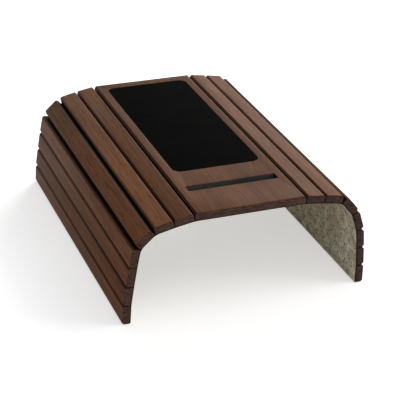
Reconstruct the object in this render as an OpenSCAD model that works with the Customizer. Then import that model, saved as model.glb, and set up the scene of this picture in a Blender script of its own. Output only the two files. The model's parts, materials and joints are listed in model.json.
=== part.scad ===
// Arched sofa arm tray: rows of wooden slats on a flexible felt backing, folded down at both
// sides of a flat panel. X runs across the sofa arm, Y from the front (minus) to the back, Z up.
// The tray stands on its feet at z = 0, with the origin below the middle of its bounding box.
// Each side is drawn as a right-hand wing, and the left one is mirrored.

/* [Wood] */
// Length of the panel and of every slat, front to back
slat_length = 300; // [280:5:400]
// Thickness of the panel and of the slats
wood_thickness = 7.2; // [6:0.1:12]
// Width of the flat centre panel
panel_width = 105; // [100:1:180]
// Width of one slat
slat_width = 18; // [14:0.5:26]
// Clearance between neighbouring slats, at their backs
slat_gap = 0.5; // [0.3:0.1:1]
// Reach of the long edges' chamfer across the face
chamfer_width = 1.7; // [0.8:0.1:3]
// Depth of the long edges' chamfer
chamfer_depth = 2; // [1:0.1:3]
// Chamfer along the cut ends, front and back
end_chamfer = 0.5; // [0.2:0.1:1.5]

/* [Folds at rest] */
// Bend at each left hinge, in degrees, from the panel down to the foot
left_bends = [10, 3, 29.5, 37, 1.5, 1, 5.5]; // [0:0.5:45]
// Bend at each right hinge after the first, which is set so that both feet stand level
right_bends = [2, 40.5, 22, 12.5, 1.5, 3.5]; // [0:0.5:45]
// Widest bend that any hinge can take before the felt crumples
widest_bend = 80; // [75:1:110]

/* [Mat] */
// Width of the foam mat in the panel
mat_width = 85; // [60:1:90]
// Length of the mat, front to back
mat_length = 208; // [120:1:215]
// Thickness of the mat
mat_thickness = 2; // [1:0.1:3]
// Radius of the mat's corners
mat_corner = 8; // [2:0.5:15]
// Wood left between the panel's back end and the mat's recess
mat_back_margin = 11; // [6:0.5:20]
// Clearance between the mat and the wall of its recess
mat_clearance = 0.3; // [0.1:0.05:0.8]
// How far the mat's face lies below the wood
mat_sink = 0.2; // [0:0.1:1]

/* [Phone slot] */
// Length of the slot for a phone or tablet
phone_slot_length = 87; // [60:1:94]
// Width of the slot, front to back
phone_slot_width = 10; // [6:0.5:12]
// Radius of the slot's corners
phone_slot_corner = 1.5; // [0.5:0.5:2.5]
// Wood between the panel's front end and the slot
phone_slot_margin = 41; // [30:1:45]
// Wood left under the slot
phone_slot_floor = 1.8; // [0.8:0.1:4]

/* [Felt backing] */
// Thickness of the felt
felt_thickness = 1; // [0.6:0.1:2]
// Set-back of the felt from the ends of the wood and from the last slats' feet
felt_inset = 0.4; // [0.2:0.1:2]
// Least space between two felt strips at the widest bend
felt_clearance = 0.4; // [0.2:0.1:1]
// Slack of a bending stretch below the wood and beside the strip before it
hinge_slack = 0.05; // [0.02:0.01:0.2]

/* [Hidden] */
slats = 7;
$fn = 64;

walnut = "#6b4a38";
walnut_light = "#7d5a45";
foam_black = "#171716";
felt_grey = "#8b8a76";

// The fold lines lie where the backs of the wood meet the felt, half a gap beside each edge.
pitch = slat_width + slat_gap;
pivot_reach = (panel_width + slat_gap) / 2;
foot_reach = pitch - slat_gap / 2;
// A felt strip stops this far short of a fold line, so that two never meet at the widest bend.
felt_stop = felt_thickness * tan(widest_bend / 2) + felt_clearance;

recess_depth = mat_thickness + mat_sink;
recess_width = mat_width + 2 * mat_clearance;
recess_length = mat_length + 2 * mat_clearance;
recess_corner = mat_corner + mat_clearance;
mat_centre = slat_length / 2 - mat_back_margin - recess_length / 2;
phone_slot_centre = -slat_length / 2 + phone_slot_margin + phone_slot_width / 2;
cut_over = 1;

// Section of a slat: first number out from its inner fold line, second up from its back
slat_outline = wood_outline(slat_gap / 2, foot_reach);
panel_outline = wood_outline(-panel_width / 2, panel_width / 2);

function wood_outline(near, far) = [
    [near, 0],
    [near, wood_thickness - chamfer_depth],
    [near + chamfer_width, wood_thickness],
    [far - chamfer_width, wood_thickness],
    [far, wood_thickness - chamfer_depth],
    [far, 0]
];

// Slope of slat k below the level, and the place of the fold line at its inner edge
function lean(bends, k) = k == 0 ? 0 : lean(bends, k - 1) + bends[k - 1];
function along(angle) = [cos(angle), -sin(angle)];
function outward(angle) = [sin(angle), cos(angle)];
function pivot(bends, k) =
    k == 1 ? [pivot_reach, 0] : pivot(bends, k - 1) + pitch * along(lean(bends, k - 1));
function placed(bends, k, point) =
    pivot(bends, k) + point[0] * along(lean(bends, k)) + point[1] * outward(lean(bends, k));

// The first right bend turns the whole wing until its foot is as low as the left one.
left_foot = placed(left_bends, slats, [foot_reach, 0]);
straight_bends = concat([0], right_bends);
straight_foot = placed(straight_bends, slats, [foot_reach, 0]) - [pivot_reach, 0];
level_bend = asin(-left_foot[1] / norm(straight_foot)) - atan2(-straight_foot[1], straight_foot[0]);
all_right_bends = concat([level_bend], right_bends);

function wing_points(bends) =
    [for (k = [1 : slats]) for (point = slat_outline) placed(bends, k, point)];
function farthest(bends) = max([for (point = wing_points(bends)) point[0]]);
function lowest(bends) = min([for (point = wing_points(bends)) point[1]]);
// Height of the fold lines beside the panel, and the shift that centres the whole width
stand_height = -min(lowest(left_bends), lowest(all_right_bends));
side_shift = (farthest(left_bends) - farthest(all_right_bends)) / 2;

module at_panel() {
    translate([side_shift, 0, stand_height]) children();
}

// Puts a wing's slat k where it stands; the drawing's X runs down the slat, its Z out of its face
module at_slat(side, k) {
    bends = side == "left" ? left_bends : all_right_bends;
    corner = pivot(bends, k);
    at_panel()
        mirror([side == "left" ? 1 : 0, 0, 0])
            translate([corner[0], 0, corner[1]])
                rotate([0, lean(bends, k), 0])
                    children();
}

// Draws a section of X and Z along Y, centred
module front_to_back(length) {
    rotate([90, 0, 0])
        linear_extrude(height = length, center = true)
            children();
}

// A wooden board of the given section, with chamfered ends
module board(outline) {
    half = slat_length / 2;
    first = outline[0][0];
    last = outline[len(outline) - 1][0];
    side_view = [
        [-half, 0],
        [half, 0],
        [half, wood_thickness - end_chamfer],
        [half - end_chamfer, wood_thickness],
        [-half + end_chamfer, wood_thickness],
        [-half, wood_thickness - end_chamfer]
    ];
    intersection() {
        front_to_back(slat_length) polygon(outline);
        translate([first, 0, 0])
            rotate([90, 0, 90])
                linear_extrude(height = last - first)
                    polygon(side_view);
    }
}

// A strip of felt below the fold plane, between two distances from a fold line
module felt_strip(near, far) {
    length = slat_length - 2 * felt_inset;
    translate([near, -length / 2, -felt_thickness])
        cube([far - near, length, felt_thickness]);
}

// A flat plate with round corners, standing up from its lower face
module rounded_plate(width, length, height, corner) {
    linear_extrude(height = height) {
        square([width - 2 * corner, length], center = true);
        square([width, length - 2 * corner], center = true);
        for (x = [-1, 1], y = [-1, 1])
            translate([x * (width / 2 - corner), y * (length / 2 - corner)])
                circle(r = corner);
    }
}

module centre_panel() {
    color(walnut)
        at_panel()
            difference() {
                board(panel_outline);
                translate([0, mat_centre, wood_thickness - recess_depth])
                    rounded_plate(recess_width, recess_length, recess_depth + cut_over, recess_corner);
                translate([0, phone_slot_centre, phone_slot_floor])
                    rounded_plate(
                        phone_slot_length, phone_slot_width,
                        wood_thickness - phone_slot_floor + cut_over, phone_slot_corner
                    );
            }
}

module inset_mat() {
    color(foam_black)
        at_panel()
            translate([0, mat_centre, wood_thickness - recess_depth])
                rounded_plate(mat_width, mat_length, mat_thickness, mat_corner);
}

module centre_felt() {
    reach = pivot_reach - felt_stop;
    color(felt_grey)
        at_panel()
            felt_strip(-reach, reach);
}

module slat(side, k) {
    color(k % 2 == 0 ? walnut : walnut_light)
        at_slat(side, k)
            board(slat_outline);
}

module slat_felt(side, k) {
    far = k == slats ? foot_reach - felt_inset : pitch - felt_stop;
    color(felt_grey)
        at_slat(side, k)
            felt_strip(felt_stop, far);
}

// The bare stretch of felt that bends under a fold line, between the strips of two boards.
// It touches only the strip of its own slat, which it moves with.
module felt_hinge(side, k) {
    bend = side == "left" ? left_bends[k - 1] : all_right_bends[k - 1];
    start = -(felt_stop - hinge_slack) * along(-bend);
    middle = -outward(-bend / 2) / cos(bend / 2);
    section = [
        start - hinge_slack * outward(-bend),
        hinge_slack * middle,
        [felt_stop, -hinge_slack],
        [felt_stop, -felt_thickness],
        felt_thickness * middle,
        start - felt_thickness * outward(-bend)
    ];
    color(felt_grey)
        at_slat(side, k)
            front_to_back(slat_length - 2 * felt_inset)
                polygon(section);
}

centre_panel();
inset_mat();
centre_felt();
for (side = ["left", "right"]) for (k = [1 : slats]) {
    slat(side, k);
    slat_felt(side, k);
    felt_hinge(side, k);
}
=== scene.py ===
# %% [markdown]
# # A slatted sofa arm tray in walnut
# The tray is a flat panel with a wing of seven slats on each side. A sheet of felt is glued under all of
# the wood, and it is the only hinge: the tray bends at the fourteen gaps between the boards.
# Every board could be drawn again here, but then its place could drift from the model that moves. So the
# places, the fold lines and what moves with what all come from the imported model. This lesson adds what
# makes it look real: rounded edges, grain, a foam mat, and the felt as real sheets with its dots.

# %% Load the fixed frame
import json
import math

import bmesh
import bpy
from mathutils import Matrix, Vector


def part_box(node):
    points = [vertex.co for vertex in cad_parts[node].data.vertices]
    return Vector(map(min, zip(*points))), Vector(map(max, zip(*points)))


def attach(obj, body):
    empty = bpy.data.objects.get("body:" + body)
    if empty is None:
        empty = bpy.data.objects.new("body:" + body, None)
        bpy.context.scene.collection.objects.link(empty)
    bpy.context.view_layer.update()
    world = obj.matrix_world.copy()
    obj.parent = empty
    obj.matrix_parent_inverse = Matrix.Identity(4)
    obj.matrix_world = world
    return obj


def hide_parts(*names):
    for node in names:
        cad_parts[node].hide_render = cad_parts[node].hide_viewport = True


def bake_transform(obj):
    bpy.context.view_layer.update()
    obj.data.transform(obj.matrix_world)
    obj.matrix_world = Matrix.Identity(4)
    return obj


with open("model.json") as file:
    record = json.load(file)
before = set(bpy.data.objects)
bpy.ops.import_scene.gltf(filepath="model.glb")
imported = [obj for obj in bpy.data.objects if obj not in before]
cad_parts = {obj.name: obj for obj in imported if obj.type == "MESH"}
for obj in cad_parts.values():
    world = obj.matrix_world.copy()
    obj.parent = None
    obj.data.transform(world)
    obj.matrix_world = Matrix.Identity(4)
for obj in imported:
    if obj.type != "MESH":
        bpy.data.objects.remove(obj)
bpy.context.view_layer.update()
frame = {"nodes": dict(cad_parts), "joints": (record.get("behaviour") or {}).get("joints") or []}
MM = 0.001
scene = bpy.context.scene

# %% [markdown]
# ## Where the boards fold
# On the real tray the felt bends along a line between two boards, where the wood's back meets it. Each of
# these fold lines is a hinge joint of the model, so its place is read there and isn't measured again.
# A joint's lowest value is the fold laid flat and five degrees more, which also gives its bend at rest.

# %% Fold lines and their bends
SIDES = {"left": -1, "right": 1}
SLATS = 7
PAST_FLAT = 5.0
joints = {joint["name"]: joint for joint in frame["joints"]}


def fold_line(side, number):
    """The point at y = 0 of the fold line at the inner edge of a slat."""
    return Vector(joints[f"{side}_fold_{number}"]["pos_m"])


def rest_bend(side, number):
    """How far a fold is bent at rest, in radians."""
    return math.radians(-joints[f"{side}_fold_{number}"]["range_deg"][0] - PAST_FLAT)


pitch = (fold_line("right", 2) - fold_line("right", 1)).length
print("fold lines:", len(joints), "from one to the next in mm:", round(pitch / MM, 2))

# %% [markdown]
# ## How the slats lie
# In the folded tray each slat slopes more than the one above it. A slope could be measured on the slat's
# mesh, but the two fold lines at its edges give it at once. The last slat has no second fold line, so its
# slope is the one above it and its own bend.

# %% Slopes of the slats
def slope(side, number):
    """How far a slat slopes below the level, in radians; number 0 is the panel."""
    if number == 0:
        return 0.0
    if number == SLATS:
        return slope(side, number - 1) + rest_bend(side, number)
    step = fold_line(side, number + 1) - fold_line(side, number)
    return math.atan2(-step.z, abs(step.x))


def directions(side, number):
    """The way down a slat, away from the panel, and the way out of its face."""
    angle = slope(side, number)
    sign = SIDES[side]
    down = Vector((sign * math.cos(angle), 0, -math.sin(angle)))
    out = Vector((sign * math.sin(angle), 0, math.cos(angle)))
    return down, out


def body_name(side, number):
    """The body of a slat, or of the panel for number 0."""
    return "centre" if number == 0 else f"{side}_leaf_{number}"


for side in SIDES:
    slopes = [round(math.degrees(slope(side, k)), 1) for k in range(1, SLATS + 1)]
    print(side, "slopes in degrees:", slopes)

# %% [markdown]
# ## The camera
# The photograph was taken from the tray's front left, a little above it, with a long lens. The camera could
# be framed by eye, but its place was worked out from the tray's corners, so that each edge lies where the
# photograph has it. Blender's lens is given in millimetres on a 36 mm wide sensor, and a square picture
# uses that whole width.

# %% Camera
CAMERA_PLACE = Vector((-0.4179, -1.0924, 0.6346))
CAMERA_TARGET = Vector((-0.0101, -0.0555, 0.060))
CAMERA_ROLL = math.radians(1.44)
camera_data = bpy.data.cameras.new("camera")
camera_data.lens = 119.7
camera_data.sensor_width = 36.0
camera_data.clip_end = 20.0
camera = bpy.data.objects.new("camera", camera_data)
scene.collection.objects.link(camera)
looking = (CAMERA_TARGET - CAMERA_PLACE).to_track_quat("-Z", "Y").to_matrix()
camera.matrix_world = (
    Matrix.Translation(CAMERA_PLACE) @ looking.to_4x4() @ Matrix.Rotation(CAMERA_ROLL, 4, "Z")
)
scene.camera = camera
print("camera is", round((CAMERA_TARGET - CAMERA_PLACE).length, 3), "m from the tray's middle")

# %% [markdown]
# ## The backdrop
# A product photograph has a white backdrop all round. Strong lamps could light it until it is white, but
# they would wash out the wood. So the world has two strengths: even fill light for the tray, and white for
# the rays that show the background, which are the camera's, the mirrored and the see-through ones.

# %% World
WHITE = (1, 1, 1)


def combine(nodes, links, operation, first, second):
    """Two numbers put together by a Math node."""
    node = nodes.new("ShaderNodeMath")
    node.operation = operation
    links.new(first, node.inputs[0])
    links.new(second, node.inputs[1])
    return node.outputs[0]


def remap(nodes, links, source, old_range, new_range, interpolation="LINEAR"):
    """A number carried over from one range to another."""
    node = nodes.new("ShaderNodeMapRange")
    node.interpolation_type = interpolation
    values = (*old_range, *new_range)
    for name, value in zip(("From Min", "From Max", "To Min", "To Max"), values):
        node.inputs[name].default_value = value
    links.new(source, node.inputs["Value"])
    return node.outputs["Result"]


def seen_directly(nodes, links):
    """1 for the rays that show the background: straight, mirrored or through glass."""
    rays = nodes.new("ShaderNodeLightPath").outputs
    turned = combine(nodes, links, "MAXIMUM", rays["Is Glossy Ray"], rays["Is Transmission Ray"])
    return combine(nodes, links, "MAXIMUM", rays["Is Camera Ray"], turned)


def make_world(fill, seen):
    """Even fill light from all round, and a white backdrop where the camera looks past the floor."""
    world = bpy.data.worlds.new("studio")
    scene.world = world
    world.use_nodes = True
    nodes = world.node_tree.nodes
    links = world.node_tree.links
    background = nodes["Background"]
    background.inputs["Color"].default_value = (*WHITE, 1)
    strength = remap(nodes, links, seen_directly(nodes, links), (0, 1), (fill, seen))
    links.new(strength, background.inputs["Strength"])
    return world


studio = make_world(fill=0.54, seen=1.0)
print("world:", studio.name, "nodes:", len(studio.node_tree.nodes))

# %% [markdown]
# ## The floor
# The tray stands on a pale floor that keeps its shadow. A shadow catcher could do that too, but a plain
# floor also throws light back under the tray. It glows a little, for the same rays as the backdrop, and a
# little more away from the tray. So the unshaded floor is white, while no extra light falls on the wood.

# %% The floor's finish
FLOOR_PAINT = (0.80, 0.80, 0.80, 1)
GLOW_DISTANCES = (0.35, 1.3)


def floor_material(near_glow, far_glow):
    """A pale matt floor that also glows for camera and mirror rays, more so away from the tray."""
    material = bpy.data.materials.new("studio_floor")
    material.use_nodes = True
    nodes = material.node_tree.nodes
    links = material.node_tree.links
    nodes.clear()
    place = nodes.new("ShaderNodeTexCoord")
    away = nodes.new("ShaderNodeVectorMath")
    away.operation = "LENGTH"
    links.new(place.outputs["Object"], away.inputs[0])
    distance = away.outputs["Value"]
    glow = remap(nodes, links, distance, GLOW_DISTANCES, (near_glow, far_glow), "SMOOTHSTEP")
    light = nodes.new("ShaderNodeEmission")
    strength = combine(nodes, links, "MULTIPLY", seen_directly(nodes, links), glow)
    links.new(strength, light.inputs["Strength"])
    paint = nodes.new("ShaderNodeBsdfDiffuse")
    paint.inputs["Color"].default_value = FLOOR_PAINT
    adder = nodes.new("ShaderNodeAddShader")
    links.new(paint.outputs[0], adder.inputs[0])
    links.new(light.outputs[0], adder.inputs[1])
    output = nodes.new("ShaderNodeOutputMaterial")
    links.new(adder.outputs[0], output.inputs["Surface"])
    return material


floor_finish = floor_material(near_glow=0.49, far_glow=0.64)
print("the floor's glow grows between", GLOW_DISTANCES, "m from the tray")

# %% Make the floor
def make_floor(size):
    """A large square of floor that the tray's feet stand on."""
    shape = bmesh.new()
    bmesh.ops.create_grid(shape, x_segments=1, y_segments=1, size=size / 2)
    mesh = bpy.data.meshes.new("floor")
    shape.to_mesh(mesh)
    shape.free()
    floor = bpy.data.objects.new("floor", mesh)
    scene.collection.objects.link(floor)
    floor.data.materials.append(floor_finish)
    return floor


floor = make_floor(size=14.0)
print("floor in square metres:", round(sum(face.area for face in floor.data.polygons)))

# %% [markdown]
# ## The lamps
# The photograph's soft light comes from behind on the right, and its shadow falls to the left. A sun or a
# small lamp would draw hard edges. So two large soft lamps are used: a key lamp behind on the right, and a
# weaker one on the right, a little in front, which keeps the near faces from going dull.

# %% Lamps
TRAY_MIDDLE = Vector((0, 0, 0.05))


def make_lamp(name, place, width, height, power):
    """A soft rectangular lamp that looks at the tray's middle."""
    data = bpy.data.lights.new(name, "AREA")
    data.shape = "RECTANGLE"
    data.size = width
    data.size_y = height
    data.energy = power
    lamp = bpy.data.objects.new(name, data)
    scene.collection.objects.link(lamp)
    aim = (TRAY_MIDDLE - place).to_track_quat("-Z", "Y").to_matrix()
    lamp.matrix_world = Matrix.Translation(place) @ aim.to_4x4()
    return lamp


lamps = [
    make_lamp("key_lamp", Vector((1.35, 1.45, 1.15)), width=1.2, height=0.9, power=38),
    make_lamp("side_lamp", Vector((1.6, -0.5, 1.1)), width=1.2, height=0.7, power=16),
]
scene.view_settings.view_transform = "Standard"
print("lamps and their power in W:", [(lamp.name, lamp.data.energy) for lamp in lamps])

# %% [markdown]
# ## Patterns made of noise
# Walnut, felt and foam are never one flat colour: each has patterns at a scale of its own. A picture could
# show them, but it has to be stretched over every piece and blurs up close. Noise has detail at any
# distance. It reads the object's own coordinates here, so a pattern stays on its piece when the tray
# folds. Its scale is a number of waves per metre along X, Y and Z: few waves along a board and many across
# it make grain.

# %% Materials and noise
def new_material(name):
    """An empty node material with its shader, and the node and link lists."""
    material = bpy.data.materials.new(name)
    material.use_nodes = True
    nodes = material.node_tree.nodes
    return material, nodes, material.node_tree.links, nodes["Principled BSDF"]


def noise(nodes, links, waves, detail, roughness, distortion=0.0):
    """Noise on object coordinates, with its own number of waves per metre along X, Y and Z."""
    place = nodes.new("ShaderNodeTexCoord")
    squeeze = nodes.new("ShaderNodeMapping")
    squeeze.inputs["Scale"].default_value = waves
    pattern = nodes.new("ShaderNodeTexNoise")
    pattern.inputs["Scale"].default_value = 1.0
    pattern.inputs["Detail"].default_value = detail
    pattern.inputs["Roughness"].default_value = roughness
    pattern.inputs["Distortion"].default_value = distortion
    links.new(place.outputs["Object"], squeeze.inputs["Vector"])
    links.new(squeeze.outputs["Vector"], pattern.inputs["Vector"])
    return pattern.outputs["Fac"]


for waves in (46, 420, 1700):
    print(waves, "waves per metre lie", round(1 / waves / MM, 1), "mm apart")

# %% [markdown]
# ## Colours and relief out of noise
# A real finish is built up in layers: the wood's own colour, then grain, stain and pores that each darken
# it. Mixing whole shaders could do that, but it is slow, and multiplied colours look the same. A ramp turns
# a pattern into a colour, and bump turns it into relief. Colours are written as linear light, which is why
# dark wood has such small numbers.

# %% Ramps, layers and bump
def ramp(nodes, links, source, stops):
    """A colour ramp with the given (position, colour) stops."""
    node = nodes.new("ShaderNodeValToRGB")
    while len(node.color_ramp.elements) < len(stops):
        node.color_ramp.elements.new(0.5)
    for element, (position, colour) in zip(node.color_ramp.elements, stops):
        element.position = position
        element.color = (*colour, 1)
    links.new(source, node.inputs["Fac"])
    return node.outputs["Color"]


def multiply_layers(nodes, links, colour, layers):
    """A colour multiplied by one layer after the other, each by a share of its full effect."""
    for layer, amount in layers:
        node = nodes.new("ShaderNodeMix")
        node.data_type = "RGBA"
        node.blend_type = "MULTIPLY"
        node.inputs["Factor"].default_value = amount
        links.new(colour, node.inputs["A"])
        links.new(layer, node.inputs["B"])
        colour = node.outputs["Result"]
    return colour


def bump(nodes, links, shader, height, strength, distance):
    """A bump from a height value, into the shader's normal."""
    node = nodes.new("ShaderNodeBump")
    node.inputs["Strength"].default_value = strength
    node.inputs["Distance"].default_value = distance
    links.new(height, node.inputs["Height"])
    links.new(node.outputs["Normal"], shader.inputs["Normal"])


half_grey = ((0.5 + 0.055) / 1.055) ** 2.4
print("half grey on a screen, as linear light:", round(half_grey, 3))

# %% [markdown]
# ## What differs from board to board
# Boards differ in tone and in warmth. Their sawn ends carry a tone of their own, and on the right wing
# that number also holds painted shade. Each board could have materials of its own, but five finishes on
# fifteen boards would be seventy-five of them. So the materials read three numbers that are painted on
# each board. From end to end the colour also drifts slowly: the front end is a little warmer, and the
# back end greyer, as a painted sheen.

# %% Painted numbers, and painted sheen and shade from front to back
def painted_number(nodes, name):
    """A number that is stored on each piece under a name."""
    node = nodes.new("ShaderNodeAttribute")
    node.attribute_name = name
    return node.outputs["Fac"]


def front_to_back_painted_light(nodes, links, stops):
    """Painted sheen on wood, painted shade on felt: a colour that drifts from front (0) to back (1)."""
    low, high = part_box("centre_panel")
    place = nodes.new("ShaderNodeTexCoord")
    split = nodes.new("ShaderNodeSeparateXYZ")
    links.new(place.outputs["Object"], split.inputs[0])
    share = remap(nodes, links, split.outputs["Y"], (low[1], high[1]), (0, 1))
    return ramp(nodes, links, share, stops)


WARMTH_STOPS = [
    (0.16, (0.80, 0.89, 1.00)),
    (0.36, (0.82, 0.87, 0.90)),
    (0.64, (0.93, 0.89, 0.83)),
    (0.84, (0.96, 0.86, 0.68)),
]
# The front end warmer and the back end greyer: a painted sheen.
WOOD_PAINTED_SHEEN_STOPS = [(0, (0.889, 0.827, 0.750)), (1, (0.855, 0.919, 1.0))]
drift = WOOD_PAINTED_SHEEN_STOPS[0][1][2] / WOOD_PAINTED_SHEEN_STOPS[1][1][2]
print("share of blue light at the front end, against the back end:", round(drift, 2))

# %% [markdown]
# ## Stained walnut
# Walnut's colour changes slowly along a board and quickly across it, and its open pores are short dark
# lines. A wave texture could draw the lines, but its stripes are too neat and look like plastic. Layers of
# stretched noise look like wood: a broad drift of tone, growth lines, fine streaks and pores. The finish
# is thin and matt, so there is hardly any gloss, and only the pores are felt as bump.

# %% Walnut along the grain
def walnut_material(name, dark, light):
    """Long grain: broad tone, growth lines, streaks and pores, all running along Y."""
    material, nodes, links, shader = new_material(name)
    broad = noise(nodes, links, waves=(46, 4, 46), detail=2, roughness=0.5)
    growth = noise(nodes, links, waves=(420, 9, 420), detail=4, roughness=0.62, distortion=0.4)
    streaks = noise(nodes, links, waves=(900, 16, 900), detail=3, roughness=0.6, distortion=0.3)
    pores = noise(nodes, links, waves=(1700, 75, 1700), detail=2, roughness=0.55)
    hue = noise(nodes, links, waves=(75, 20, 75), detail=3, roughness=0.55)
    warmth = combine(nodes, links, "ADD", hue, painted_number(nodes, "board_warmth"))
    layers = (
        (painted_number(nodes, "board_tone"), 1.0),
        (ramp(nodes, links, warmth, WARMTH_STOPS), 1.0),
        # painted sheen, greying the back end
        (front_to_back_painted_light(nodes, links, WOOD_PAINTED_SHEEN_STOPS), 1.0),
        (ramp(nodes, links, growth, [(0.3, (0.74, 0.70, 0.67)), (0.62, WHITE)]), 1.0),
        (ramp(nodes, links, streaks, [(0.34, (0.58, 0.54, 0.52)), (0.52, WHITE)]), 0.7),
        (ramp(nodes, links, pores, [(0.36, (0.45, 0.42, 0.42)), (0.5, WHITE)]), 0.6),
    )
    body = ramp(nodes, links, broad, [(0.28, dark), (0.72, light)])
    links.new(multiply_layers(nodes, links, body, layers), shader.inputs["Base Color"])
    shader.inputs["Roughness"].default_value = 0.5
    shader.inputs["Specular IOR Level"].default_value = 0.02
    bump(nodes, links, shader, pores, strength=0.35, distance=0.12 * MM)
    return material


walnut_slats = walnut_material("walnut_slat_grain", (0.1422, 0.0637, 0.0321), (0.2512, 0.1124, 0.0574))
walnut_panel = walnut_material("walnut_panel_grain", (0.1468, 0.0668, 0.0353), (0.2581, 0.118, 0.0631))
print("nodes in one walnut material:", len(walnut_slats.node_tree.nodes))

# %% [markdown]
# ## The same wood: worn edges, painted highlight and painted shade
# Stain wears thin on the edges, so they are paler, and the paler edges also stand as a painted highlight.
# The chamfers are painted darker and the sides in the gaps near black, both as painted shade, and the phone
# slot's far wall is charcoal. Plain dark colours could do for such narrow faces, but the grain runs on
# through them, and it would be missed close up. So all of them are the same walnut, each between two
# colours of its own.

# %% Walnut of the edges, chamfers and gaps
# Paler walnut for the edges: worn stain, and partly a painted highlight.
worn_and_highlit_walnut = walnut_material("walnut_worn_edge_and_highlight", (0.1721, 0.0849, 0.0482), (0.2753, 0.1399, 0.0826))
# Darker walnut for the chamfers: painted shade.
shaded_chamfer_walnut = walnut_material(
    "walnut_chamfer_painted_shade", (0.0665, 0.031, 0.0172), (0.1204, 0.0574, 0.031)
)
# Near-black walnut for the faces in the gaps and inside the slot: painted shade.
gap_shade_walnut = walnut_material("walnut_painted_gap_shade", (0.0138, 0.008, 0.0057), (0.0252, 0.0138, 0.0103))
slot_wall = walnut_material("charcoal_slot_wall", (0.0972, 0.1001, 0.1005), (0.1590, 0.1640, 0.1648))
print("narrow finishes:", [wood.name for wood in (worn_and_highlit_walnut, shaded_chamfer_walnut, gap_shade_walnut, slot_wall)])

# %% [markdown]
# ## Sawn ends
# At a sawn end the growth rings are seen end-on, as fine bands, and the cut fibres soak up more stain. The
# long grain could simply run on over the ends, but that is what gives a printed board away. So the ends
# have a darker and rougher material of their own.

# %% End grain, and the lists of finishes
def end_grain_material(name, dark, light):
    """Cut wood: growth rings seen end-on as fine bands, with open pores."""
    material, nodes, links, shader = new_material(name)
    rings = noise(nodes, links, waves=(260, 30, 900), detail=4, roughness=0.6, distortion=0.3)
    pores = noise(nodes, links, waves=(2200, 300, 2200), detail=2, roughness=0.6)
    # The end number is the sawn ends' tone, and on the right wing also painted shade.
    layers = (
        (painted_number(nodes, "end_tone_and_shade"), 1.0),
        (ramp(nodes, links, pores, [(0.38, (0.5, 0.48, 0.48)), (0.52, WHITE)]), 0.6),
    )
    body = ramp(nodes, links, rings, [(0.32, dark), (0.66, light)])
    links.new(multiply_layers(nodes, links, body, layers), shader.inputs["Base Color"])
    shader.inputs["Roughness"].default_value = 0.65
    shader.inputs["Specular IOR Level"].default_value = 0.08
    bump(nodes, links, shader, pores, strength=0.4, distance=0.15 * MM)
    return material


end_grain = end_grain_material("walnut_end_grain", (0.033, 0.0175, 0.0138), (0.135, 0.0725, 0.055))
slat_finishes = [walnut_slats, worn_and_highlit_walnut, end_grain, gap_shade_walnut, shaded_chamfer_walnut]
panel_finishes = [walnut_panel, *slat_finishes[1:], slot_wall]
WOOD_LONG, WOOD_EDGE, WOOD_END, WOOD_GAP_SHADE, WOOD_CHAMFER, WOOD_SLOT = range(len(panel_finishes))
print("finishes of the panel:", [finish.name for finish in panel_finishes])

# %% [markdown]
# ## Rounded edges
# Each board is a straight plank with chamfered long edges, as the model has it. On a real one no edge is
# sharp, because it has been sanded. A Bevel modifier could round the edges, but the new faces are needed
# here, to give them a finish. So the mesh is copied, its loose triangles are joined into flat faces, and
# the bevel operator rounds the edges and says which faces it has made.

# %% Merge and round
MERGE_DISTANCE = 0.01 * MM
FLAT_ANGLE = math.radians(1)


def merged_copy(node):
    """The CAD node's mesh as a bmesh with whole flat faces."""
    shape = bmesh.new()
    shape.from_mesh(frame["nodes"][node].data)
    bmesh.ops.remove_doubles(shape, verts=shape.verts, dist=MERGE_DISTANCE)
    bmesh.ops.dissolve_limit(shape, angle_limit=FLAT_ANGLE, verts=shape.verts, edges=shape.edges)
    return shape


def edges_sharper_than(shape, degrees):
    """The edges at which two faces meet at more than an angle."""
    return [
        edge
        for edge in shape.edges
        if len(edge.link_faces) == 2 and edge.calc_face_angle(0) > math.radians(degrees)
    ]


def round_edges(shape, edges, radius, segments):
    """Rounds some edges with the bevel operator, and returns the faces that this makes."""
    made = bmesh.ops.bevel(
        shape,
        geom=edges,
        offset=radius,
        offset_type="OFFSET",
        segments=segments,
        profile=0.5,
        affect="EDGES",
        clamp_overlap=True,
        material=-1,
    )
    return made["faces"]


panel_shape = merged_copy("centre_panel")
print("flat faces of the panel before rounding:", len(panel_shape.faces))
panel_shape.free()

# %% [markdown]
# ## Which finish a face shows
# On a board the flat face, the worn edges, the stained chamfers, the dark sides and the sawn ends all look
# different. Faces could be picked by number, but the numbers change with every bevel. The way that a face
# points tells what it is: how much of its normal runs along the board, and how much straight out of it.

# %% Finishes by direction
# Shares of a face's normal, along the board or straight out of it
SQUARE_END = 0.8
TOWARDS_END = 0.3
NEAR_TOP = 0.75
FLAT_FACE = 0.95
LONG_CHAMFER = 0.55


def finish_of(face, out, rounded):
    """Which walnut finish a face of a board shows, from the way it points."""
    lengthwise = abs(face.normal.y)
    lift = face.normal.dot(out)
    if lengthwise > SQUARE_END:
        return WOOD_END
    # Edges are paler: worn stain, and partly a painted highlight.
    if lengthwise > TOWARDS_END and lift > TOWARDS_END:
        return WOOD_EDGE
    if face in rounded and lift > NEAR_TOP:
        return WOOD_EDGE
    if abs(lift) > FLAT_FACE:
        return WOOD_LONG
    # Chamfers that face up are painted darker, and faces that look into the gaps near black: painted shade.
    return WOOD_CHAMFER if lift > LONG_CHAMFER else WOOD_GAP_SHADE


print("a long chamfer slopes at most", round(math.degrees(math.acos(LONG_CHAMFER))), "degrees")

# %% [markdown]
# ## The phone slot
# The slot is a deep narrow pocket near the panel's front end. From the front only its far wall is seen,
# which is charcoal, and the rest is painted near black, as painted shade. It could be a separate liner,
# but it is cut into the wood. So it stays part of the board, and its faces are found by their place in the
# panel.

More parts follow.
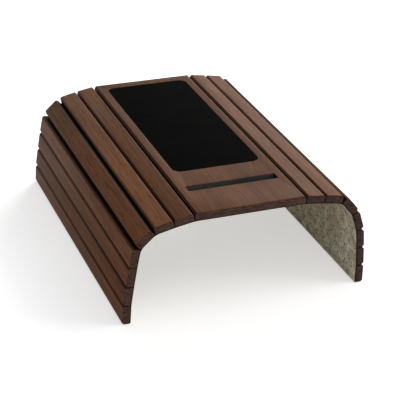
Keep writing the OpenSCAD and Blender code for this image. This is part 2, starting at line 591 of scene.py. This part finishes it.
# %% Finishes in the phone slot
# The slot's zone in the panel: from its front end, from its middle, from its back and from its face
SLOT_FROM_FRONT = (39 * MM, 53 * MM)
SLOT_REACH = 45 * MM
SLOT_LEAST_HEIGHT = 1 * MM
SLOT_LEAST_DEPTH = 0.4 * MM
TOWARDS_FRONT = 0.9
panel_low, panel_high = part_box("centre_panel")
panel_middle = (panel_low[0] + panel_high[0]) / 2


def is_in_slot(face):
    """Whether a face of the panel belongs to the phone slot's walls or its floor."""
    middle = face.calc_center_median()
    from_front = middle.y - panel_low[1]
    return (
        SLOT_FROM_FRONT[0] < from_front < SLOT_FROM_FRONT[1]
        and abs(middle.x - panel_middle) < SLOT_REACH
        and panel_low[2] + SLOT_LEAST_HEIGHT < middle.z < panel_high[2] - SLOT_LEAST_DEPTH
    )


def finish_in_slot(face):
    """Charcoal on the slot's far wall, which looks to the front, and near-black painted shade elsewhere."""
    return WOOD_SLOT if -face.normal.y > TOWARDS_FRONT else WOOD_GAP_SHADE


print("the panel's middle lies at x =", round(panel_middle / MM, 2), "mm")

# %% [markdown]
# ## From shape to piece
# A bmesh is only a shape in the making. A finished piece is an object at the origin, with its place in its
# mesh, as the model's own nodes have it. Faces could be left flat, but rounded edges show as facets then.
# So they are smooth, and only edges above 30 degrees stay sharp.

# %% Finish a piece
SMOOTH_ANGLE = math.radians(30)


def finish_piece(shape, name, materials):
    """Turns a bmesh into an object at the origin with the given materials."""
    mesh = bpy.data.meshes.new(name)
    shape.to_mesh(mesh)
    shape.free()
    for material in materials:
        mesh.materials.append(material)
    mesh.shade_smooth()
    mesh.set_sharp_from_angle(angle=SMOOTH_ANGLE)
    piece = bpy.data.objects.new(name, mesh)
    scene.collection.objects.link(piece)
    return piece


def paint_number(piece, name, value):
    """Stores one number for the whole piece, which its material can read."""
    attribute = piece.data.attributes.new(name, "FLOAT", "POINT")
    attribute.data.foreach_set("value", [value] * len(piece.data.vertices))


at_origin = [node for node in frame["nodes"].values() if node.location.length == 0]
print("nodes of the model:", len(frame["nodes"]), "and at the origin:", len(at_origin))

# %% [markdown]
# ## The boards
# A board is a copy of its CAD node with rounded edges, and stands in that node's place on the same body.
# It could be one piece for a whole wing, but the slats move apart when the tray folds. The numbers were set
# board by board until the render matched the photograph: the second left slat is the palest, the sixth
# left one the darkest, and the two lowest left ones are the warmest.

# %% Make the boards
UP = Vector((0, 0, 1))
EDGE_RADIUS = 0.5 * MM
PANEL_NUMBERS = (0.80, 0.0, 0.84)
BOARD_TONES = {
    "left": (0.86, 1.31, 0.95, 1.16, 0.96, 0.72, 1.08),
    "right": (1.30, 1.20, 0.94, 1.08, 0.95, 1.12, 0.92),
}
BOARD_WARMTHS = {
    "left": (-0.04, -0.07, 0.07, 0.0, 0.09, 0.20, 0.20),
    "right": (-0.08, 0.03, 0.0, -0.05, 0.05, 0.1, 0.0),
}
# The right wing's sawn ends are painted darker than the left's: painted shade.
END_TONES_AND_SHADE = {"left": 0.87, "right": 0.62}


def make_board(node, body, out, numbers):
    """A wooden board that stands for its CAD node."""
    is_panel = node == "centre_panel"
    shape = merged_copy(node)
    sharp = edges_sharper_than(shape, degrees=20)
    rounded = set(round_edges(shape, sharp, EDGE_RADIUS, segments=3))
    for face in shape.faces:
        in_slot = is_panel and is_in_slot(face)
        face.material_index = finish_in_slot(face) if in_slot else finish_of(face, out, rounded)
    board = finish_piece(shape, f"{node}_board", panel_finishes if is_panel else slat_finishes)
    for name, value in zip(("board_tone", "board_warmth", "end_tone_and_shade"), numbers):
        paint_number(board, name, value)
    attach(board, body)
    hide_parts(node)
    return board


boards = [make_board("centre_panel", "centre", UP, PANEL_NUMBERS)]
for side in SIDES:
    for number in range(1, SLATS + 1):
        _, out = directions(side, number)
        numbers = (BOARD_TONES[side][number - 1], BOARD_WARMTHS[side][number - 1], END_TONES_AND_SHADE[side])
        body = body_name(side, number)
        boards.append(make_board(f"{side}_slat_{number}", body, out, numbers))
print("boards:", len(boards), "faces:", sum(len(board.data.polygons) for board in boards))

# %% [markdown]
# ## The foam mat
# The mat is a thin plate of closed-cell foam, cut with round corners and dropped into its recess. It is
# nearly black and quite matt. It could be a plain black slab, but then it would look like a hole in the
# wood. A fine pebbled skin and a wide soft rim let it catch a little light.

# %% Foam mat
RIM_RADIUS = 0.45 * MM
FOAM_STOPS = [(0.3, (0.0026, 0.0026, 0.0025)), (0.7, (0.0036, 0.0036, 0.0034))]


def foam_material():
    """Matt black foam with a fine pebbled skin."""
    material, nodes, links, shader = new_material("black_foam")
    pebbles = noise(nodes, links, waves=(2600, 2600, 2600), detail=2, roughness=0.6)
    patches = noise(nodes, links, waves=(60, 60, 60), detail=2, roughness=0.5)
    links.new(ramp(nodes, links, patches, FOAM_STOPS), shader.inputs["Base Color"])
    shader.inputs["Roughness"].default_value = 0.85
    shader.inputs["Specular IOR Level"].default_value = 0.004
    bump(nodes, links, shader, pebbles, strength=0.3, distance=0.08 * MM)
    return material


def make_mat():
    """The mat, with a soft rim."""
    shape = merged_copy("inset_mat")
    round_edges(shape, edges_sharper_than(shape, degrees=40), RIM_RADIUS, segments=3)
    mat = finish_piece(shape, "foam_mat", [foam_material()])
    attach(mat, "centre")
    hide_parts("inset_mat")
    return mat


mat = make_mat()
print("mat faces:", len(mat.data.polygons))

# %% [markdown]
# ## What felt looks like
# Felt is pressed from short fibres of several colours, so it has brownish patches, soft mottling and dark
# flecks, and no weave. Hair particles could make its fuzz, but they are slow, and fuzz this short is hardly
# seen. Two noises that are stretched across each other make crossing fibres instead, as colour and as
# bump. Halfway from front to back the felt is painted a little darker and browner than at its ends, as
# painted shade.

# %% Grey felt
# Darker and browner halfway from front to back: painted shade.
FELT_PAINTED_SHADE_STOPS = [(0, WHITE), (0.3, (0.85, 0.81, 0.75)), (0.7, (0.85, 0.81, 0.75)), (1, WHITE)]


def felt_material():
    """Grey-green felt: brownish patches, soft mottling, dark flecks and crossing fibres."""
    material, nodes, links, shader = new_material("grey_felt")
    patches = noise(nodes, links, waves=(26, 26, 26), detail=2, roughness=0.5)
    mottle = noise(nodes, links, waves=(110, 110, 110), detail=4, roughness=0.65)
    flecks = noise(nodes, links, waves=(460, 460, 460), detail=3, roughness=0.65, distortion=0.15)
    lengthwise = noise(nodes, links, waves=(2400, 420, 2400), detail=3, roughness=0.6, distortion=0.8)
    crosswise = noise(nodes, links, waves=(420, 2400, 420), detail=3, roughness=0.6, distortion=0.8)
    fibres = combine(nodes, links, "MINIMUM", lengthwise, crosswise)
    layers = (
        (ramp(nodes, links, patches, [(0.40, (0.80, 0.72, 0.65)), (0.56, WHITE)]), 1.0),
        # painted shade, darker halfway from front to back
        (front_to_back_painted_light(nodes, links, FELT_PAINTED_SHADE_STOPS), 1.0),
        (ramp(nodes, links, flecks, [(0.36, (0.46, 0.41, 0.35)), (0.50, WHITE)]), 0.9),
        (ramp(nodes, links, fibres, [(0.34, (0.60, 0.58, 0.54)), (0.50, WHITE)]), 0.7),
    )
    body = ramp(nodes, links, mottle, [(0.34, (0.56, 0.505, 0.395)), (0.66, (1.0, 1.0, 0.85))])
    links.new(multiply_layers(nodes, links, body, layers), shader.inputs["Base Color"])
    shader.inputs["Roughness"].default_value = 0.95
    shader.inputs["Specular IOR Level"].default_value = 0.05
    shader.inputs["Sheen Weight"].default_value = 0.1
    shader.inputs["Sheen Roughness"].default_value = 0.5
    bump(nodes, links, shader, fibres, strength=0.6, distance=0.3 * MM)
    return material


grey_felt = felt_material()
print("nodes in the felt material:", len(grey_felt.node_tree.nodes))

# %% [markdown]
# ## Where the felt is dark
# The cut edge of the felt is a thin dark line under the boards' ends, and the side that the glue has soaked
# is darker still. They could share the pale material and wait for shade, but the line shows in full light
# too. So each has a dark felt of its own.

# %% Dark felt
def dark_felt_material(name, dark, light):
    """Felt that is dark right through: its cut edge, or the side that the glue has soaked."""
    material, nodes, links, shader = new_material(name)
    fibres = noise(nodes, links, waves=(1100, 1100, 1100), detail=4, roughness=0.7, distortion=1.0)
    links.new(ramp(nodes, links, fibres, [(0.34, dark), (0.66, light)]), shader.inputs["Base Color"])
    shader.inputs["Roughness"].default_value = 0.9
    shader.inputs["Specular IOR Level"].default_value = 0.05
    bump(nodes, links, shader, fibres, strength=0.5, distance=0.2 * MM)
    return material


cut_felt = dark_felt_material("felt_cut_edge", (0.008, 0.006, 0.004), (0.022, 0.015, 0.011))
glued_felt = dark_felt_material("felt_glued_side", (0.006, 0.005, 0.004), (0.014, 0.011, 0.009))
felt_finishes = [grey_felt, cut_felt, glued_felt]
FELT_FACE, FELT_CUT, FELT_GLUED = range(len(felt_finishes))
print("finishes of the felt:", [finish.name for finish in felt_finishes])

# %% [markdown]
# ## How the felt is divided
# One sheet of felt holds all the boards together. It could be one piece here too, but a piece can bend over
# one joint only. So each slat gets a stretch of its own: it starts just before the fold line, turns round
# it, and runs on under the slat to just before the next fold. The joins between two stretches lie flat
# against one board, where nothing ever bends, so they don't show.

# %% Section of a stretch
felt_low, felt_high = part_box("centre_felt")
felt_thickness = felt_high[2] - felt_low[2]
felt_length = felt_high[1] - felt_low[1]
# A stretch starts this far before its fold line, and lies this far below the wood
bend_reach = 4.6 * MM
wood_contact = 0.02 * MM
# The number of the section's corner that lies inside the fold
INSIDE_OF_FOLD = 4


def felt_end(side, number):
    """How far down its slat a stretch of felt runs."""
    if number < SLATS:
        return pitch - bend_reach
    down, _ = directions(side, number)
    start = fold_line(side, number)
    strip = frame["nodes"][f"{side}_felt_{number}"].data
    return max((vertex.co - start).dot(down) for vertex in strip.vertices)


def felt_section(side, number):
    """Corners of a stretch's section: along the wood, and back along the inside."""
    fold = fold_line(side, number)
    down_before, out_before = directions(side, number - 1)
    down, out = directions(side, number)
    middle = (out_before + out).normalized() / math.cos(rest_bend(side, number) / 2)
    start_top = fold - bend_reach * down_before
    end_top = fold + felt_end(side, number) * down
    return [
        start_top - wood_contact * out_before,
        fold - wood_contact * middle,
        end_top - wood_contact * out,
        end_top - felt_thickness * out,
        fold - felt_thickness * middle,
        start_top - felt_thickness * out_before,
    ]


print("felt thickness in mm:", round(felt_thickness / MM, 2), "length:", round(felt_length / MM, 1))

# %% [markdown]
# ## Pulled from a section
# Where real felt bends, its inside is a soft hollow and not a crease. Many thin strips could follow that
# curve, but two operators make it in fewer steps: the section is pulled from front to back, and a bevel
# rounds the one edge that lies inside the fold.

# %% Pull and round a stretch
BACK = Vector((0, 1, 0))
CREASE_RADIUS = 0.8 * bend_reach
SAME_PLACE = 0.001 * MM


def extrude_front_to_back(corners, length):
    """A bmesh made by pulling a section, drawn in X and Z, along Y."""
    shape = bmesh.new()
    front = [shape.verts.new(corner - length / 2 * BACK) for corner in corners]
    section = shape.faces.new(front)
    pulled = bmesh.ops.extrude_face_region(shape, geom=[section])
    moved = [item for item in pulled["geom"] if isinstance(item, bmesh.types.BMVert)]
    bmesh.ops.translate(shape, verts=moved, vec=length * BACK)
    bmesh.ops.recalc_face_normals(shape, faces=shape.faces)
    return shape


def lies_at(vertex, corner):
    """Whether a vertex has a corner's X and Z."""
    return abs(vertex.co.x - corner.x) < SAME_PLACE and abs(vertex.co.z - corner.z) < SAME_PLACE


def stretch_shape(side, number):
    """The shape of the stretch at a slat's fold, with a soft hollow inside the bend."""
    corners = felt_section(side, number)
    shape = extrude_front_to_back(corners, felt_length)
    inside = corners[INSIDE_OF_FOLD]
    crease = [edge for edge in shape.edges if all(lies_at(vertex, inside) for vertex in edge.verts)]
    round_edges(shape, crease, CREASE_RADIUS, segments=6)
    return shape


print("a crease is rounded from this far on each side, in mm:", round(CREASE_RADIUS / MM, 2))

# %% [markdown]
# ## Pale inside, dark edges
# The felt shows its pale side on the inside of the arch, and its dark cut at the front, at the back and at
# the two feet. Three thin pieces could show that, but they would have to bend together. So one piece gets
# its three finishes by the way its faces point.

# %% Finish a stretch
FOOT_END = 0.9
GLUED_SIDE = 0.6


def finish_felt(shape, out, foot_way=None):
    """Sets each face's felt: dark on the cut edges and on the glued side, pale on the inside."""
    for face in shape.faces:
        if abs(face.normal.y) > SQUARE_END or foot_way and face.normal.dot(foot_way) > FOOT_END:
            face.material_index = FELT_CUT
        elif face.normal.dot(out) > GLUED_SIDE:
            face.material_index = FELT_GLUED
        else:
            face.material_index = FELT_FACE


def make_wing_felt(side, number):
    """The stretch of felt that bends at a slat's fold and runs on under that slat."""
    down, out = directions(side, number)
    _, out_before = directions(side, number - 1)
    shape = stretch_shape(side, number)
    finish_felt(shape, (out + out_before).normalized(), down if number == SLATS else None)
    return finish_piece(shape, f"{side}_felt_stretch_{number}", felt_finishes)


sharpest = max(rest_bend(side, number) for side in SIDES for number in range(1, SLATS + 1))
print("sharpest bend of the felt in degrees:", round(math.degrees(sharpest), 1))

# %% [markdown]
# ## The stretches of the wings
# When a fold turns, the felt before the line stays with one board and the felt after it goes with the
# next. A stretch could ride on one board alone, but then it would cut through the other. Here each
# stretch is built where it lies at rest, and the flat widths that they are cut to are added up.


def bend_with_fold(piece, side, number):
    """Bakes a piece's place into its mesh; the ways before and after the fold are found but not used."""
    before, _ = directions(side, number - 1)
    after, _ = directions(side, number)
    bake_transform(piece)


flat_widths = []
for side in SIDES:
    for number in range(1, SLATS + 1):
        felt = make_wing_felt(side, number)
        bend_with_fold(felt, side, number)
        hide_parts(f"{side}_felt_{number}", f"{side}_felt_hinge_{number}")
        flat_width = bend_reach + felt_end(side, number)
        flat_widths.append(flat_width)
print("stretches in the wings:", len(flat_widths), "together in mm:", round(sum(flat_widths) / MM, 1))

# %% [markdown]
# ## The felt under the panel
# Between the two wings the felt lies flat under the panel and never bends. It could be part of a first
# stretch, but a piece that doesn't bend is simpler to ride on one body. So it is pulled from a plain
# four-cornered section and rides with the panel.

# %% Make the felt under the panel
def make_centre_felt():
    """The flat middle of the sheet, under the panel."""
    low_x = fold_line("left", 1).x + bend_reach
    high_x = fold_line("right", 1).x - bend_reach
    top = fold_line("left", 1).z - wood_contact
    bottom = fold_line("left", 1).z - felt_thickness
    section = ((low_x, top), (high_x, top), (high_x, bottom), (low_x, bottom))
    shape = extrude_front_to_back([Vector((x, 0, z)) for x, z in section], felt_length)
    finish_felt(shape, UP)
    felt = finish_piece(shape, "centre_felt_sheet", felt_finishes)
    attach(felt, "centre")
    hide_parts("centre_felt")
    return felt


centre_felt = make_centre_felt()
print("faces of the felt under the panel:", len(centre_felt.data.polygons))

# %% [markdown]
# ## Rows of anti-slip dots
# The felt's underside carries rows of small dark dots that stop the tray sliding on the sofa, each row half
# a step beside the last. Such dots are printed on the flat sheet before it is glued on. They could be
# scattered at random, but the rows are plain to see. So the grid is laid out on the flat sheet, and then
# carried over to each stretch.

# %% The grid of dots
ROW_STEP = 8 * MM
FIRST_ROW = 1.05 * MM
DOT_STEP = 15 * MM
FIRST_DOT = 0.8 * MM
END_MARGIN = 2.5 * MM


def dot_rows(low, high):
    """The rows whose distance to the right of the flat sheet's middle lies in a range."""
    first = math.ceil((low - FIRST_ROW) / ROW_STEP)
    last = math.floor((high - FIRST_ROW) / ROW_STEP)
    return [(row, FIRST_ROW + row * ROW_STEP) for row in range(first, last + 1)]


def dots_along(row):
    """The places of one row's dots from front to back; odd rows are half a step on."""
    edge = felt_length / 2 - END_MARGIN
    first = FIRST_DOT + (row % 2) * DOT_STEP / 2
    count = math.ceil(edge / DOT_STEP)
    places = [first + step * DOT_STEP for step in range(-count - 1, count + 1)]
    return [place for place in places if abs(place) < edge]


print("dots in an even and in an odd row:", len(dots_along(0)), len(dots_along(1)))

# %% [markdown]
# ## One dot
# A dot is a drop of soft dark plastic that stands a little proud of the felt. It could be painted on by the
# material, but a real one catches the light. So each dot is a flattened ball with few faces, sunk halfway
# into the felt.

# %% A dot and its plastic
DOT_RADIUS = 1.05 * MM
DOT_HEIGHT = 0.35 * MM
DOT_STOPS = [(0.35, (0.009, 0.008, 0.006)), (0.65, (0.020, 0.018, 0.014))]


def dot_material():
    """Dark soft plastic of the anti-slip dots."""
    material, nodes, links, shader = new_material("grip_dots")
    patches = noise(nodes, links, waves=(400, 400, 400), detail=2, roughness=0.5)
    links.new(ramp(nodes, links, patches, DOT_STOPS), shader.inputs["Base Color"])
    shader.inputs["Roughness"].default_value = 0.55
    return material


def add_dot(shape, place, out, side_way):
    """One flattened ball at a place on the felt, its flat way along the felt's own face."""
    turn = Matrix((side_way.normalized(), BACK, out)).transposed().to_4x4()
    flat = Matrix.Diagonal((DOT_RADIUS, DOT_RADIUS, DOT_HEIGHT, 1))
    spot = Matrix.Translation(place) @ turn @ flat
    bmesh.ops.create_uvsphere(shape, u_segments=8, v_segments=4, radius=1, matrix=spot)


grip_plastic = dot_material()
print("a dot in mm:", round(2 * DOT_RADIUS / MM, 1), "wide and", round(DOT_HEIGHT / MM, 2), "high")

# %% [markdown]
# ## Dots on each stretch
# Each stretch of felt gets one piece of dots, and not hundreds of single pieces. Like its stretch, the
# piece is built where the felt lies at rest, and the dots under the panel ride with the panel.

# %% Make the dots
RIGHT = Vector((1, 0, 0))
FOOT_MARGIN = 2 * MM
half_width = (fold_line("right", 1).x - fold_line("left", 1).x) / 2
centre_x = (fold_line("right", 1).x + fold_line("left", 1).x) / 2


def under_felt(side, number, distance):
    """The point on the felt's inner face at a distance past a fold line, and the ways out and down."""
    down, out = directions(side, number - 1 if distance < 0 else number)
    return fold_line(side, number) + distance * down - felt_thickness * out, out, down


def make_wing_dots(side, number):
    """The dots on one stretch of a wing's felt."""
    start = half_width + (number - 1) * pitch
    low = start - bend_reach
    high = start + felt_end(side, number) - (FOOT_MARGIN if number == SLATS else 0)
    reach = (low, high) if side == "right" else (-high, -low)
    shape = bmesh.new()
    for row, flat_place in dot_rows(*reach):
        place, out, down = under_felt(side, number, abs(flat_place) - start)
        for y in dots_along(row):
            add_dot(shape, place + y * BACK, out, down)
    dots = finish_piece(shape, f"{side}_dots_{number}", [grip_plastic])
    bend_with_fold(dots, side, number)
    return dots


def make_centre_dots():
    """The dots under the panel."""
    reach = half_width - bend_reach
    bottom = fold_line("left", 1).z - felt_thickness
    shape = bmesh.new()
    for row, flat_place in dot_rows(-reach, reach):
        for y in dots_along(row):
            add_dot(shape, Vector((centre_x + flat_place, y, bottom)), UP, RIGHT)
    dots = finish_piece(shape, "centre_dots", [grip_plastic])
    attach(dots, "centre")
    return dots


dot_pieces = [make_centre_dots()]
for side in SIDES:
    for number in range(1, SLATS + 1):
        dot_pieces.append(make_wing_dots(side, number))
print("pieces of dots:", len(dot_pieces), "faces:", sum(len(dots.data.polygons) for dots in dot_pieces))
